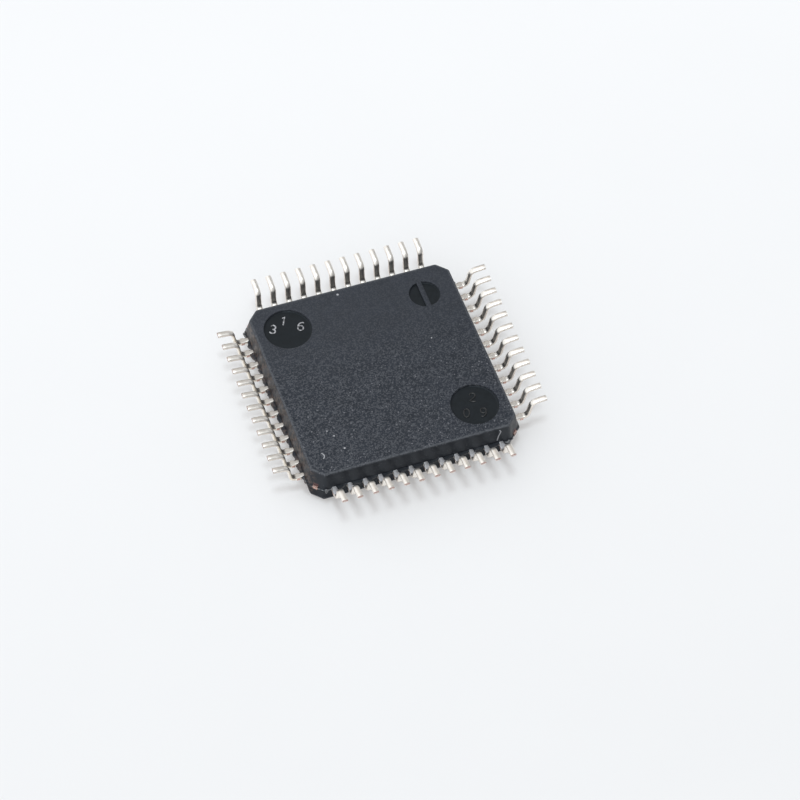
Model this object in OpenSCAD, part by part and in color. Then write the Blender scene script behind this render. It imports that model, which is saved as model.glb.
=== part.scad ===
// Quad flat pack with gull-wing leads on four sides.
// It lies on its marking face, with the solder side and the feet up.
// Millimetres. The origin is the centre of the marking face.

/* [Moulded body] */
// Side of the body, at the parting line
body_size = 7; // [6.9:0.1:9]
// Thickness of the half that carries the marking
mark_half = 0.73; // [0.6:0.01:0.9]
// Thickness of the half on the solder side
solder_half = 0.62; // [0.55:0.01:0.9]
// Draft of the side walls, in degrees
draft = 12; // [5:1:15]
// Length that a corner chamfer takes from each side
corner_cut = 0.42; // [0.3:0.02:0.5]
// Depth of the small facets that soften each end of a chamfer
corner_soft = 0.02; // [0.01:0.005:0.04]

/* [Marks of the mould] */
// Diameter of the two large ejector recesses
large_recess_d = 1.53; // [1:0.01:1.7]
// Diameter of the small ejector recess
small_recess_d = 1; // [0.6:0.01:1.2]
// Depth of the ejector recesses
recess_depth = 0.08; // [0.03:0.01:0.1]
// Distance from the body's sides to the centre of a recess
recess_inset = 1.2; // [1.1:0.05:1.4]
// Shift of all three recesses towards the back row
recess_shift = 0.04; // [0.01:0.01:0.06]
// Width of the rib that crosses the small recess
rib_w = 0.16; // [0.1:0.02:0.3]
// Distance from the small recess's centre to the rib's, towards the left row
rib_shift = 0.03; // [0.01:0.01:0.08]
// Diameter of the pin 1 dimple in the marking face
dimple_d = 0.7; // [0.4:0.05:0.9]
// Depth of the pin 1 dimple
dimple_depth = 0.05; // [0.03:0.01:0.1]
// Distance from the body's sides to the centre of the dimple
dimple_inset = 0.95; // [0.9:0.05:1.3]

/* [Gull-wing leads] */
// Number of leads on each side
leads_per_side = 12; // [4:1:12]
// Pitch of the leads
pitch = 0.5; // [0.4:0.02:0.5]
// Width of a lead
lead_w = 0.18; // [0.16:0.01:0.22]
// Thickness of the lead frame with its plating
lead_t = 0.12; // [0.1:0.01:0.15]
// Distance from the body's side to the tip of a foot
reach = 1; // [0.95:0.05:1.4]
// Straight length of a lead between the body and its first bend
shoulder_len = 0.29; // [0.15:0.01:0.33]
// Inner radius of the bend at the shoulder
shoulder_r = 0.09; // [0.06:0.01:0.12]
// Inner radius of the bend at the heel
heel_r = 0.14; // [0.08:0.01:0.16]
// Lean of the riser, in degrees from upright
riser_lean = 10; // [4:1:14]
// Height of the feet above the solder face
standoff = 0.1; // [0.05:0.01:0.15]
// Width of a lead at the stubs of its cut dam bar
dambar_w = 0.24; // [0.23:0.01:0.28]
// Length of a lead that the dam bar's stubs take up
dambar_len = 0.09; // [0.05:0.01:0.1]
// Gap between the body and the dam bar's stubs
dambar_gap = 0.04; // [0.02:0.01:0.05]

/* [Lead frame inside the body] */
// Side of the die pad
pad_size = 3.3; // [2.8:0.1:3.4]
// Height that the die pad is set off from the leads
downset = 0.2; // [0.16:0.01:0.25]
// Width of a tie bar
tie_w = 0.16; // [0.1:0.01:0.18]
// Length of a tie bar that stands proud of the corner
tie_proud = 0.03; // [0.01:0.01:0.06]
// Gap between the die pad's edge and the inner ends of the leads
finger_gap = 0.25; // [0.2:0.01:0.3]
// Pitch of the inner ends of the leads
finger_pitch = 0.27; // [0.25:0.01:0.28]
// Width of a lead at its inner end
finger_w = 0.14; // [0.1:0.01:0.16]
// Length of a lead that stays straight inside the body
root_len = 0.3; // [0.2:0.05:0.4]

/* [Die and bonding] */
// Side of the die
die_size = 2.4; // [1.8:0.1:2.6]
// Thickness of the die
die_t = 0.25; // [0.15:0.01:0.28]
// Thickness of the adhesive below the die
attach_t = 0.025; // [0.015:0.005:0.04]
// Margin of the adhesive around the die
attach_rim = 0.09; // [0.04:0.01:0.1]
// Corner radius of the adhesive
attach_r = 0.15; // [0.05:0.05:0.3]
// Diameter of a bond wire
wire_d = 0.025; // [0.018:0.001:0.03]
// Height of a wire's loop over the die
loop_h = 0.15; // [0.1:0.01:0.2]
// Diameter of the ball at the die's end of a wire
ball_d = 0.07; // [0.05:0.005:0.08]
// Height of that ball
ball_h = 0.02; // [0.01:0.005:0.03]
// Distance from the die's edge to the balls
bond_inset = 0.1; // [0.06:0.01:0.15]
// Pitch of the balls along the die's edge
bond_pitch = 0.15; // [0.12:0.01:0.16]
// Distance from the end of a lead to its wire's stitch
stitch_inset = 0.12; // [0.06:0.01:0.18]

/* [Hidden] */
$fn = 48;
cut_over = 0.2;
half = body_size / 2;
body_t = mark_half + solder_half;
foot_z = body_t + standoff;
lead_z = mark_half - lead_t / 2;
bend_angle = 90 - riser_lean;
knee_x = half + shoulder_len;
knee_z = lead_z + lead_t + shoulder_r;
bend_span = shoulder_r + lead_t + heel_r;
heel_z = foot_z - lead_t - heel_r;
riser_len = (heel_z - knee_z + bend_span * sin(riser_lean)) / cos(riser_lean);
heel_x = knee_x + riser_len * sin(riser_lean) + bend_span * cos(riser_lean);
foot_len = half + reach - heel_x;
finger_x = pad_size / 2 + finger_gap;
root_x = half - root_len;
pad_z = lead_z + downset;
tie_end = (body_size - corner_cut) / sqrt(2) + tie_proud;
tie_flat = pad_size / sqrt(2) + tie_w;
die_z = pad_z - attach_t - die_t;
loop_z = die_z - loop_h;
bond_x = die_size / 2 - bond_inset;
stitch_x = finger_x + stitch_inset;
recess_at = half - recess_inset;
dimple_at = half - dimple_inset;
ROWS = ["left", "back", "right", "front"];

function two_digits(n) = n < 10 ? str("0", n) : str(n);
function lead_name(n) = str("lead_", two_digits(n));
function wires_name(row) = str("bond_wires_", ROWS[row]);
// Turn of a row about Z; a row's own +X points out of the body
function row_turn(row) = 180 - 90 * row;
// Place along a row of its lead k, for a given pitch
function along(k, step) = ((leads_per_side - 1) / 2 - k) * step;
// Place along a row of lead k's centre line, at a distance x inside the body
function finger_y(k, x) =
    along(k, finger_pitch)
    + (along(k, pitch) - along(k, finger_pitch)) * (x - finger_x) / (root_x - finger_x);

// A slab with drafted edges: two faces of the body, w from the centre at the parting line
module drafted_slab(w) {
    mark_w = w - mark_half * tan(draft);
    solder_w = w - solder_half * tan(draft);
    rotate([90, 0, 0])
        linear_extrude(height = 2 * body_size, center = true)
            polygon([
                [-mark_w, 0], [mark_w, 0], [w, mark_half],
                [solder_w, body_t], [-solder_w, body_t], [-w, mark_half]
            ]);
}

// The drafted block: sides, corner chamfers and the facets between them
module body_block() {
    chamfer_w = (body_size - corner_cut) / sqrt(2);
    soft_w = half * cos(22.5) + (half - corner_cut) * sin(22.5) - corner_soft;
    intersection() {
        drafted_slab(half);
        rotate([0, 0, 90]) drafted_slab(half);
        rotate([0, 0, 45]) drafted_slab(chamfer_w);
        rotate([0, 0, 135]) drafted_slab(chamfer_w);
        rotate([0, 0, 22.5]) drafted_slab(soft_w);
        rotate([0, 0, 67.5]) drafted_slab(soft_w);
        rotate([0, 0, 112.5]) drafted_slab(soft_w);
        rotate([0, 0, 157.5]) drafted_slab(soft_w);
    }
}

// A round recess in the solder face
module recess(x, y, d) {
    translate([x, y, body_t - recess_depth])
        cylinder(d = d, h = recess_depth + cut_over);
}

// The small recess, crossed by a rib that stays level with the face
module ribbed_recess(x, y) {
    difference() {
        recess(x, y, small_recess_d);
        translate([x - rib_shift - rib_w / 2, y - small_recess_d, 0])
            cube([rib_w, 2 * small_recess_d, body_t + 2 * cut_over]);
    }
}

module pin_1_dimple() {
    translate([-dimple_at, -dimple_at, -cut_over])
        cylinder(d = dimple_d, h = dimple_depth + cut_over);
}

// The flat stretch of lead k: inner finger, root, dam bar stubs and shoulder
module lead_flat(k) {
    w = lead_w / 2;
    stub = dambar_w / 2;
    y = along(k, pitch);
    tip_y = along(k, finger_pitch);
    stub_x = half + dambar_gap;
    stub_end = stub_x + dambar_len;
    translate([0, 0, lead_z])
        linear_extrude(height = lead_t)
            polygon([
                [finger_x, tip_y - finger_w / 2], [root_x, y - w],
                [stub_x, y - w], [stub_x, y - stub], [stub_end, y - stub], [stub_end, y - w],
                [knee_x, y - w], [knee_x, y + w],
                [stub_end, y + w], [stub_end, y + stub], [stub_x, y + stub], [stub_x, y + w],
                [root_x, y + w], [finger_x, tip_y + finger_w / 2]
            ]);
}

// A bend about an axis along the row: inner radius r, starting at angle from
module lead_bend(r, from) {
    rotate([90, 0, 0])
        rotate([0, 0, from])
            rotate_extrude(angle = bend_angle)
                translate([r, -lead_w / 2])
                    square([lead_t, lead_w]);
}

// The formed stretch of a lead, each piece carried by the one before: knee, riser, heel, foot
module lead_formed() {
    lead_bend(shoulder_r, -90);
    rotate([0, riser_lean, 0]) {
        translate([shoulder_r, -lead_w / 2, 0])
            cube([lead_t, lead_w, riser_len]);
        translate([bend_span, 0, riser_len]) {
            lead_bend(heel_r, 90 + riser_lean);
            rotate([0, -riser_lean, 0])
                translate([0, -lead_w / 2, heel_r])
                    cube([foot_len, lead_w, lead_t]);
        }
    }
}

// Lead n, counted around the body from the dimple's corner
module lead(n) {
    row = floor((n - 1) / leads_per_side);
    k = (n - 1) % leads_per_side;
    color("#d8d2c4")
        rotate([0, 0, row_turn(row)])
            union() {
                lead_flat(k);
                translate([knee_x, along(k, pitch), knee_z])
                    lead_formed();
            }
}

// One tie bar: level with the die pad, then down a ramp to the leads' level
module tie_bar() {
    ramp_end = tie_flat + downset;
    translate([0, tie_w / 2, 0])
        rotate([90, 0, 0])
            linear_extrude(height = tie_w)
                polygon([
                    [0, pad_z], [tie_flat, pad_z], [ramp_end, lead_z], [tie_end, lead_z],
                    [tie_end, lead_z + lead_t], [ramp_end, lead_z + lead_t],
                    [tie_flat, pad_z + lead_t], [0, pad_z + lead_t]
                ]);
}

module die_pad() {
    color("#b87a4b")
        union() {
            translate([-pad_size / 2, -pad_size / 2, pad_z])
                cube([pad_size, pad_size, lead_t]);
            for (turn = [45:90:315])
                rotate([0, 0, turn])
                    tie_bar();
        }
}

module die_attach() {
    side = die_size + 2 * attach_rim;
    at = side / 2 - attach_r;
    color("#8f9296")
        translate([0, 0, pad_z - attach_t])
            linear_extrude(height = attach_t)
                union() {
                    square([side, 2 * at], center = true);
                    square([2 * at, side], center = true);
                    for (x = [-at, at])
                        for (y = [-at, at])
                            translate([x, y])
                                circle(r = attach_r);
                }
}

module die() {
    color("#5b6472")
        translate([-die_size / 2, -die_size / 2, die_z])
            cube([die_size, die_size, die_t]);
}

// A round bar of the wire's diameter from one point towards another, past it by extra
module wire_span(from, to, extra) {
    v = to - from;
    translate(from)
        rotate([0, acos(v[2] / norm(v)), atan2(v[1], v[0])])
            cylinder(d = wire_d, h = norm(v) + extra);
}

// The wire of lead k: ball, neck, kink and the span down to the stitch
module wire(k) {
    y = along(k, bond_pitch);
    kink = [bond_x, y, loop_z];
    stitch = [stitch_x, finger_y(k, stitch_x), lead_z];
    translate([bond_x, y, die_z - ball_h])
        cylinder(d = ball_d, h = ball_h);
    translate(kink)
        cylinder(d = wire_d, h = loop_h - ball_h);
    translate(kink)
        sphere(d = wire_d);
    wire_span(kink, stitch, 2 * wire_d);
}

// The wires of a row, cut off flat where they are stitched to the leads
module bond_wires(row) {
    color("#e0b040")
        rotate([0, 0, row_turn(row)])
            difference() {
                for (k = [0:leads_per_side - 1])
                    wire(k);
                translate([finger_x, -half, lead_z])
                    cube([half, body_size, lead_t]);
            }
}

// The compound fills every space around the lead frame, the die and the wires
module moulded_body() {
    color("#3b3c41")
        difference() {
            body_block();
            recess(-recess_at, recess_shift + recess_at, large_recess_d);
            recess(recess_at, recess_shift - recess_at, large_recess_d);
            ribbed_recess(recess_at, recess_shift + recess_at);
            pin_1_dimple();
            die_pad();
            die_attach();
            die();
            for (row = [0:3])
                rotate([0, 0, row_turn(row)])
                    for (k = [0:leads_per_side - 1]) {
                        lead_flat(k);
                        wire(k);
                    }
        }
}

moulded_body();
die_pad();
die_attach();
die();
for (row = [0:3])
    bond_wires(row);
for (n = [1:4 * leads_per_side])
    lead(n);
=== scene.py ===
"""Looks of a quad flat pack that lies on its marking face: moulded body, formed leads, marks and stage."""
import math

import bpy
import numpy as np
from bpy.props import FloatProperty, FloatVectorProperty, IntProperty, PointerProperty
from mathutils import Matrix, Vector


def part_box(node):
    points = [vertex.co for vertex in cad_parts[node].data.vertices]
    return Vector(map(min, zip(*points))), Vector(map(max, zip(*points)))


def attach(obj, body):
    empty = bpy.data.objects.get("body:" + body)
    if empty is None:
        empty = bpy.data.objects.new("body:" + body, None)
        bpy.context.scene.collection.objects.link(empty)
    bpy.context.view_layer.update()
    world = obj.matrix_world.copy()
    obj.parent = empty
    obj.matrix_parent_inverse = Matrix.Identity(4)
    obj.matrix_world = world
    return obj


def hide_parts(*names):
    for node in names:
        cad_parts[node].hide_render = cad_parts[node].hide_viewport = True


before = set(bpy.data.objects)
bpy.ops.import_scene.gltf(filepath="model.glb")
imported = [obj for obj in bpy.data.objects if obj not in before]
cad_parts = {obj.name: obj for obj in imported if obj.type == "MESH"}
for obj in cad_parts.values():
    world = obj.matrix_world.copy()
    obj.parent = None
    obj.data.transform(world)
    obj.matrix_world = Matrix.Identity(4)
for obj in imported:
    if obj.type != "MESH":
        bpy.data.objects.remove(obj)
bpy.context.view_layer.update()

bl_info = {
    "name": "Quad flat pack",
    "version": (1, 0, 0),
    "blender": (4, 5, 0),
    "location": "3D View > Sidebar > Flat pack",
    "description": "Moulded body, gull-wing leads and stage of a quad flat pack",
    "category": "Object",
}

MM = 0.001
_, BODY_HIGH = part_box("moulded_body")
LEAD_LOW, LEAD_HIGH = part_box("lead_30")
LEADS_PER_SIDE = sum(name.startswith("lead_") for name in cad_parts) // 4


# ---------------------------------------------------------------- sizes and colours


def length(name, description, millimetres):
    """A length property in metres whose default is given in millimetres."""
    return FloatProperty(
        name=name,
        description=description,
        default=millimetres * MM,
        min=0.0,
        unit="LENGTH",
        subtype="DISTANCE",
        precision=6,
    )


def tilt(name, description, degrees):
    """An angle property whose default is given in degrees."""
    return FloatProperty(
        name=name, description=description, default=math.radians(degrees), unit="ROTATION", subtype="ANGLE"
    )


def colour(name, description, rgb):
    """A colour property."""
    return FloatVectorProperty(
        name=name, description=description, default=rgb, size=3, min=0.0, max=1.0, subtype="COLOR"
    )


class BodySizes(bpy.types.PropertyGroup):
    """Sizes of the moulded body that its box doesn't give."""

    part_line: length("Parting line", "Height of the parting line", 0.73)
    draft: tilt("Draft", "Lean of the side walls", 12)
    corner_cut: length("Corner cut", "Length that a chamfer takes from each side", 0.42)
    corner_round: length("Corner round", "Radius between a side and a chamfer", 0.26)
    solder_edge: length("Solder edge", "Easing of the edge around the solder face", 0.035)
    mark_edge: length("Marking edge", "Easing of the edge around the marking face", 0.06)
    corner_flash: length("Corner flash", "Reach of the moulding flash on the chamfers", 0.045)
    end_flash: length("End flash", "Reach of the flash beside the outer leads", 0.08)
    side_flash: length("Side flash", "Reach of the flash between the leads", 0.13)


class MarkSizes(bpy.types.PropertyGroup):
    """Sizes of the recesses, the rib, the dimple and the digits."""

    large_recess: length("Large recess", "Radius of the large recesses", 0.765)
    small_recess: length("Small recess", "Radius of the small recess", 0.5)
    recess_depth: length("Recess depth", "Depth of the recesses", 0.08)
    recess_inset: length("Recess inset", "Distance of a recess from the sides", 1.2)
    recess_shift: length("Recess shift", "Shift of the recesses towards the back row", 0.04)
    rib: length("Rib", "Width of the rib across the small recess", 0.16)
    rib_shift: length("Rib shift", "Distance of the rib from the recess's centre", 0.03)
    dimple: length("Dimple", "Radius of the pin 1 dimple", 0.35)
    dimple_depth: length("Dimple depth", "Depth of the pin 1 dimple", 0.05)
    dimple_inset: length("Dimple inset", "Distance of the dimple from the sides", 0.95)
    digit: length("Digit", "Height of a raised cavity digit", 0.32)
    stroke: length("Stroke", "Width of a digit's strokes", 0.055)
    ridge: length("Ridge", "Height of a digit's strokes", 0.026)


class LeadSizes(bpy.types.PropertyGroup):
    """Sizes of a formed lead."""

    pitch: length("Pitch", "Distance between neighbouring leads", 0.5)
    width: length("Width", "Width of a lead with its plating", 0.197)
    thickness: length("Thickness", "Thickness of a lead with its plating", 0.12)
    corner: length("Corner", "Radius of a lead's long edges", 0.05)
    crown: length("Crown", "Bow of the foot's and riser's wide faces", 0.006)
    shoulder: length("Shoulder", "Straight length before the first bend", 0.245)
    knee: length("Knee", "Inner radius of the bend at the shoulder", 0.14)
    heel: length("Heel", "Inner radius of the bend at the heel", 0.14)
    foot_slope: tilt("Foot slope", "Slope of the foot where it leaves the heel", 7)
    foot_ramp: length("Foot ramp", "Length over which the foot keeps that slope", 0.25)
    lean: tilt("Lean", "Lean of the riser from upright", 10)
    stub_width: length("Stub width", "Width over the stubs of the cut dam bar", 0.21)
    stub_length: length("Stub length", "Length of those stubs", 0.11)
    stub_gap: length("Stub gap", "Gap between body and stubs", 0.13)
    finger_pitch: length("Finger pitch", "Pitch of the inner ends", 0.27)
    finger_width: length("Finger width", "Width of an inner end", 0.14)
    root: length("Root", "Straight length inside the body", 0.3)
    stray: length("Stray", "Most that a foot strays sideways", 0.008)


class Finishes(bpy.types.PropertyGroup):
    """Colours of the materials."""

    compound: colour("Compound", "Moulding compound", (0.0115, 0.0135, 0.0195))
    # Pale grain of the eroded face, partly painted glints.
    grain_and_glint: colour("Grain", "Fine grain of the eroded face", (0.061, 0.064, 0.073))
    # Bright filler grains, partly painted glints.
    filler_and_glint: colour("Filler", "Grains of filler in the compound", (0.155, 0.155, 0.17))
    # Painted highlight along the rim of the solder face.
    rim_highlight: colour("Worn", "Worn rim of the solder face", (0.075, 0.078, 0.086))
    flash: colour("Flash", "Thin moulding flash", (0.20, 0.20, 0.205))
    # Mottled brown painted reflection of the leads on the left flank.
    lead_reflection: colour("Dust", "Brownish dust on the left flank", (0.085, 0.062, 0.052))
    stain: colour("Stain", "Stain above the tie bars", (0.075, 0.032, 0.030))
    polished: colour("Polished", "Polished floor of the recesses", (0.0022, 0.0030, 0.0042))
    # Pale specks, crescent and hair on the body, and the painted highlight on the crests of the raised
    # digits.
    pale_mark_and_highlight: colour("Scuff", "Scuffed crest of a raised digit", (0.42, 0.42, 0.44))
    tin: colour("Tin", "Tin plating", (0.89, 0.853, 0.80))
    # Grey painted reflection of the dark body on the front row's shoulders.
    body_reflection: colour("Bleed", "Resin film on the front shoulders", (0.55, 0.56, 0.60))
    edge: colour("Edge", "Side faces of the leads", (0.86, 0.79, 0.72))
    # Painted light: a tan tint on the side faces of the left row's risers.
    shade: colour("Shade", "Risers of the left row", (0.90, 0.82, 0.70))
    copper: colour("Copper", "Bare copper alloy", (0.50, 0.29, 0.24))
    broken: colour("Broken", "Torn part of a cut tip", (0.36, 0.19, 0.17))
    gold: colour("Gold", "Bond wires", (0.95, 0.70, 0.30))
    silicon: colour("Silicon", "Die", (0.20, 0.22, 0.26))
    adhesive: colour("Adhesive", "Die attach", (0.45, 0.45, 0.44))
    floor: colour("Floor", "Pale floor", (0.613, 0.628, 0.648))


class StageSettings(bpy.types.PropertyGroup):
    """Camera, lamp and seed."""

    turn: tilt("Turn", "Turn of the camera", -22.4134)
    rise: tilt("Rise", "Height angle of the camera", 53.6197)
    roll: tilt("Roll", "Roll of the camera", 3.4642)
    distance: length("Distance", "Distance from the camera to its target", 108.0456)
    lens: FloatProperty(name="Lens", description="Focal length in mm", default=154.755, min=1)
    target: FloatVectorProperty(
        name="Target",
        description="Point at the middle of the view",
        default=(0.3152 * MM, -0.9451 * MM, 0.70 * MM),
        subtype="XYZ",
        precision=6,
    )
    lamp_size: length("Lamp size", "Diameter of the lamp", 80)
    lamp_distance: length("Lamp distance", "Distance from the lamp to the origin", 400)
    lamp_power: FloatProperty(name="Lamp power", description="Power of the lamp in watts", default=0.40)
    seed: IntProperty(name="Seed", description="Seed of the small irregularities", default=7)


# ---------------------------------------------------------------- meshes from arrays


# Edges sharper than this angle are shaded sharp, and points within this distance are welded.
SHARP_EDGE = math.radians(34)
WELD_GRID = 1e-9


def add_object(name, data):
    """A new object in the scene."""
    made = bpy.data.objects.new(name, data)
    bpy.context.scene.collection.objects.link(made)
    return made


def make_piece(name, points, faces, materials, material_index=None):
    """A mesh object from an array of points and a list of face arrays, each of any number of corners."""
    mesh = bpy.data.meshes.new(name)
    corners = np.concatenate([part.ravel() for part in faces])
    totals = np.concatenate([np.full(len(part), part.shape[1]) for part in faces])
    starts = np.concatenate([[0], np.cumsum(totals)[:-1]])
    mesh.vertices.add(len(points))
    mesh.vertices.foreach_set("co", np.asarray(points, np.float32).ravel())
    mesh.loops.add(len(corners))
    mesh.loops.foreach_set("vertex_index", corners.astype(np.int32))
    mesh.polygons.add(len(totals))
    mesh.polygons.foreach_set("loop_start", starts.astype(np.int32))
    mesh.polygons.foreach_set("loop_total", totals.astype(np.int32))
    mesh.polygons.foreach_set("use_smooth", np.ones(len(totals), bool))
    if material_index is not None:
        mesh.polygons.foreach_set("material_index", material_index.astype(np.int32))
    mesh.update(calc_edges=True)
    mesh.validate()
    mesh.set_sharp_from_angle(angle=SHARP_EDGE)
    for finish in materials:
        mesh.materials.append(finish)
    return add_object(name, mesh)


def weld(points, faces):
    """Points that share a place become one, and points that no face uses are left out."""
    keys = np.round(points / WELD_GRID).astype(np.int64)
    _, first, merged = np.unique(keys, axis=0, return_index=True, return_inverse=True)
    merged = merged.ravel()
    faces = [merged[part] for part in faces]
    used = np.unique(np.concatenate([part.ravel() for part in faces]))
    place = np.full(len(first), -1)
    place[used] = np.arange(len(used))
    return points[first[used]], [place[part] for part in faces]


def join(parts):
    """Several (points, faces) pairs as one pair, with the faces counted on."""
    points, faces, start = [], [], 0
    for part_points, part_faces in parts:
        points.append(part_points)
        faces += [part + start for part in part_faces]
        start += len(part_points)
    return np.concatenate(points), faces


def ring_quads(rows, columns):
    """Quads between closed rings: corner (r, c), (r, c+1), (r+1, c+1), (r+1, c), with columns wrapping."""
    r, c = np.meshgrid(np.arange(rows - 1), np.arange(columns), indexing="ij")
    here = r * columns + c
    right = r * columns + (c + 1) % columns
    return np.stack([here, right, right + columns, here + columns], -1).reshape(-1, 4)


def end_caps(rows, columns):
    """The first ring, the other way round, and the last ring, as one face each."""
    ring = np.arange(columns)
    return np.array([ring[::-1], (rows - 1) * columns + ring])


def level_ring(flat, height):
    """Plane points lifted to a height."""
    return np.column_stack([flat, np.full(len(flat), height)])


def turned(points, angle):
    """Points turned about Z by an angle."""
    c, s = math.cos(angle), math.sin(angle)
    return np.stack([points[..., 0] * c - points[..., 1] * s, points[..., 0] * s + points[..., 1] * c], -1)


# ---------------------------------------------------------------- the moulded body

CHAMFER_STEPS = 12
CORNER_STEPS = 7
SIDE_STEPS = 130
EASE_STEPS = 6
TURNS = [math.radians(a) for a in (0, 90, 180, 270)]

# Distance from the body's sides to the grid in each face.
MARKING_FRAME = 0.37 * MM
SOLDER_FRAME = 0.345 * MM


def side_outline(half, cut, radius):
    """Places and outward normals along the front side, from the middle of one chamfer to the next.

    Half a chamfer, an arc, the straight side, and the same again mirrored. An arc's centre lies
    the radius inside both of its lines.
    """
    slant = np.array([-1, -1]) / math.sqrt(2)
    down = np.array([0, -1])
    corner = np.array([cut - half, -half])
    centre = corner - radius * (slant + down) / (1 + slant @ down)
    middle = np.array([cut / 2 - half, cut / 2 - half])
    share = np.arange(CHAMFER_STEPS)[:, None] / CHAMFER_STEPS
    chamfer = middle + share * (centre + radius * slant - middle)
    angle = np.radians(-135 + 45 * np.arange(CORNER_STEPS) / CORNER_STEPS)
    arc_normal = np.stack([np.cos(angle), np.sin(angle)], -1)
    share = np.arange(SIDE_STEPS + 1)[:, None] / SIDE_STEPS
    start = centre + radius * down
    straight = start + share * np.array([-2 * start[0], 0])
    half_place = np.concatenate([chamfer, centre + radius * arc_normal])
    half_normal = np.concatenate([np.tile(slant, (CHAMFER_STEPS, 1)), arc_normal])
    mirror = np.array([-1, 1])
    place = np.concatenate([half_place, straight, (half_place * mirror)[:0:-1]])
    level = np.tile(down, (SIDE_STEPS + 1, 1))
    return place, np.concatenate([half_normal, level, (half_normal * mirror)[:0:-1]])


def face_grid(lines, height, holes):
    """A flat square on a grid of lines, with round hollows let into it.

    Each hollow takes out the block of cells around it. Rings lead from the block's edge to the
    hollow's rim and on down its profile of (radius, height) to a pole at its centre.
    """
    count = len(lines)
    x, y = np.meshgrid(lines, lines, indexing="ij")
    points = np.stack([x, y, np.full_like(x, height)], -1).reshape(-1, 3)
    number = np.arange(count * count).reshape(count, count)
    keep = np.ones((count - 1, count - 1), bool)
    parts = []
    for (cx, cy), profile, margin in holes:
        reach = profile[0][0] + margin
        i0, i1 = np.searchsorted(lines, cx - reach) - 1, np.searchsorted(lines, cx + reach)
        j0, j1 = np.searchsorted(lines, cy - reach) - 1, np.searchsorted(lines, cy + reach)
        keep[i0:i1, j0:j1] = False
        sides = [number[i0:i1, j0], number[i1, j0:j1], number[i1:i0:-1, j1], number[i0, j1:j0:-1]]
        edge = np.concatenate(sides)
        square = points[edge]
        ray = square[:, :2] - [cx, cy]
        ray = ray / np.linalg.norm(ray, axis=1)[:, None]
        round_rings = [level_ring([cx, cy] + ray * radius, level) for radius, level in profile[:-1]]
        rings = [square, (square + round_rings[0]) / 2] + round_rings
        pole = np.array([[cx, cy, profile[-1][1]]])
        columns = len(edge)
        last = (len(rings) - 1) * columns + np.arange(columns)
        fan = np.stack([last, np.roll(last, -1), np.full(columns, len(rings) * columns)], -1)
        parts.append((np.concatenate(rings + [pole]), [ring_quads(len(rings), columns), fan]))
    cells = np.stack([number[:-1, :-1], number[1:, :-1], number[1:, 1:], number[:-1, 1:]], -1)[keep]
    return join([(points, [cells])] + parts)


def hollow_profile(radius, top, depth, ease):
    """Radius and height from the rim to the centre of a round hollow with an eased rim and foot."""
    floor = top - depth
    turn = np.radians([0, 30, 60, 90])
    rim = [(radius + ease * (1 - math.sin(a)), top - ease * (1 - math.cos(a))) for a in turn]
    foot = [(radius - 0.3 * ease - ease * (1 - math.cos(a)), floor + ease * (1 - math.sin(a))) for a in turn]
    floor_rings = [(radius * share, floor) for share in (0.9, 0.75, 0.5, 0.25)]
    return rim + foot + floor_rings + [(0.0, floor)]


def eased(before, corner, after):
    """Points along a parabola that rounds the corner between two lines."""
    t = np.linspace(0, 1, EASE_STEPS)[:, None]
    return (1 - t) ** 2 * np.array(before) + 2 * t * (1 - t) * np.array(corner) + t**2 * np.array(after)


def body_profile(sizes, height, lead):
    """Inset and height of the rows up a side of the body, with several close to the parting line."""
    slope = math.tan(sizes.draft)
    lean = np.array([math.sin(sizes.draft), math.cos(sizes.draft)])
    low = np.array([sizes.part_line * slope, 0.0])
    high = np.array([(height - sizes.part_line) * slope, height])
    e, f = sizes.mark_edge, sizes.solder_edge
    bottom = eased(low + [e, 0], low, low + e * lean * [-1, 1])
    top = eased(high - f * lean, high, high + [f, 0])
    near = 0.012 * MM
    wide = lead / 2
    below = np.linspace(bottom[-1][1], sizes.part_line - 1.3 * wide, 5)[1:]
    close = sizes.part_line + np.array([-wide, -0.85 * wide, -near, 0, near, 0.85 * wide, wide])
    above = np.linspace(sizes.part_line + 1.3 * wide, top[0][1], 5)[:-1]
    z = np.concatenate([below, close, above])
    middle = np.stack([np.abs(z - sizes.part_line) * slope, z], -1)
    return np.concatenate([bottom, middle, top])


def ragged(count, seed):
    """A ragged closed line between 0 and 1: random values averaged with their neighbours, then stretched."""
    rough = np.random.default_rng(seed).random(count)
    blurred = (rough + np.roll(rough, 1) + np.roll(rough, -1)) / 3
    return np.clip((blurred - 0.25) / 0.4, 0, 1)


def flash_reach(outline, outward, away, sizes, lead, seed):
    """How far the flash sticks out, for each row up the side and each place round the outline.

    Between the leads it is nearly as thick as a lead, reaches out almost to the cut dam bar and
    shrinks from each lead to the next, with less of it at the right and back rows. Beside the outer
    leads and on the chamfers it is a thin film. A ragged line scales its reach. Away is a row's
    height above the parting line, and lead is a lead's thickness.
    """
    chamfer = np.abs(outward[:, 0] * outward[:, 1]) > 0.3
    along = outline[:, 1] * outward[:, 0] - outline[:, 0] * outward[:, 1]
    pitch = BODY_HIGH.x / (LEADS_PER_SIDE + 2) * 2
    outer = (LEADS_PER_SIDE - 1) / 2 * pitch + 0.1 * MM
    between = (np.abs(along) < outer) & ~chamfer
    spread = 0.35 + 0.65 * ragged(len(outline), seed)
    past_lead = (along / pitch + 0.5) % 1
    seen = np.where(outward.sum(1) < 0, 1.0, 0.4)
    reach = np.where(between, seen * sizes.side_flash * (1.1 - 0.7 * past_lead), sizes.end_flash)
    reach = np.where(chamfer, sizes.corner_flash, reach) * spread
    film, fade = 0.006 * MM, 0.01 * MM
    half_thick = np.where(between, 0.46 * lead, film)
    share = (half_thick - np.abs(away)[:, None]) / fade + 0.5
    return np.clip(share, 0, 1) * reach


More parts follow.
